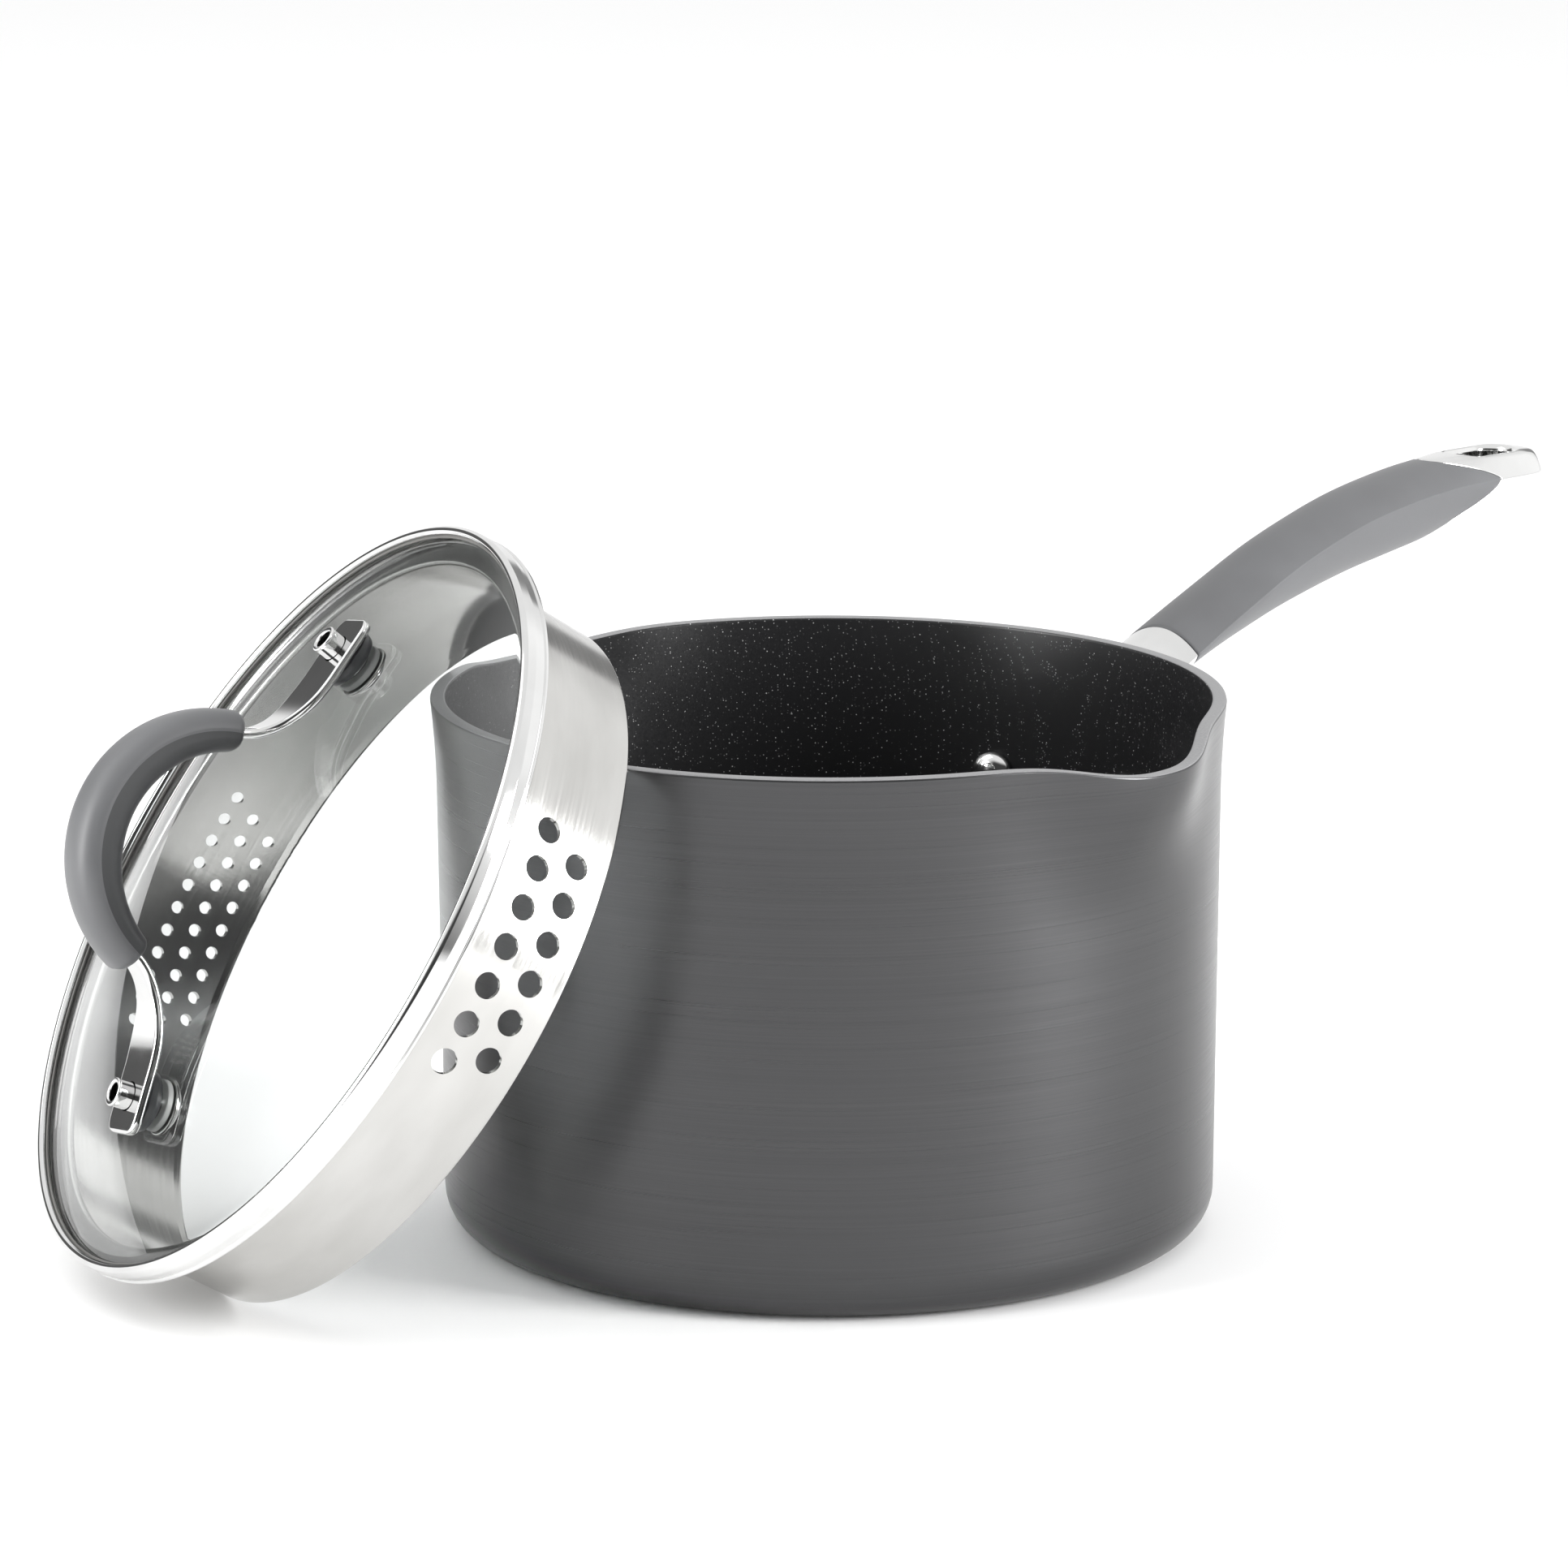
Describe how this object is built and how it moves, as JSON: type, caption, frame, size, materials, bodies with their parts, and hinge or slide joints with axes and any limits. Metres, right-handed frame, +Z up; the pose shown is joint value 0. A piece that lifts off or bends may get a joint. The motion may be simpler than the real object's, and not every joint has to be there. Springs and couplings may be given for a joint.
{
  "type": "straining saucepan with glass lid",
  "caption": "Tall hard-anodised saucepan with pouring spouts and a riveted soft-grip handle; its glass straining lid with a perforated steel skirt leans on the rim.",
  "frame": {"origin": "centre of the pan's flat base, on the surface that it stands on", "axes": "+Z up along the pan's axis; +X along the pan's handle, away from the pan; the spouts are on +Y and -Y; the lid leans on the rim on the -X side, turned towards +Y"},
  "size_m": [0.4783, 0.256, 0.1758],
  "materials": {
    "anodised_pan": "hard-anodised, fine horizontal brushing, satin",
    "nonstick": "black non-stick coating with a fine sparkle, satin",
    "polished_steel": "mirror-polished stainless steel",
    "brushed_steel": "stainless steel, bright satin",
    "grip_silicone": "matte grey silicone",
    "seal_silicone": "dark grey silicone",
    "clear_glass": "clear tempered glass"
  },
  "bodies": {
    "pan": {"pan_body": "anodised_pan", "handle_casting": "polished_steel", "handle_grip": "grip_silicone", "handle_rivet_left": "polished_steel", "handle_rivet_right": "polished_steel"},
    "lid": {"lid_skirt": "brushed_steel", "lid_rim_band": "polished_steel", "lid_gasket": "seal_silicone", "lid_glass": "clear_glass", "lid_handle_strap": "polished_steel", "lid_grip": "grip_silicone", "lid_rivet_a": "polished_steel", "lid_rivet_b": "polished_steel", "lid_washer_outer_a": "seal_silicone", "lid_washer_outer_b": "seal_silicone", "lid_washer_inner_a": "seal_silicone", "lid_washer_inner_b": "seal_silicone", "lid_cup_washer_a": "brushed_steel", "lid_cup_washer_b": "brushed_steel"}
  },
  "joints": [
    {"name": "lid_lift", "type": "slide", "parent": "pan", "child": "lid", "axis": [-0.7558, 0.3867, 0.5284], "range_m": [0, 0.25]}
  ]
}
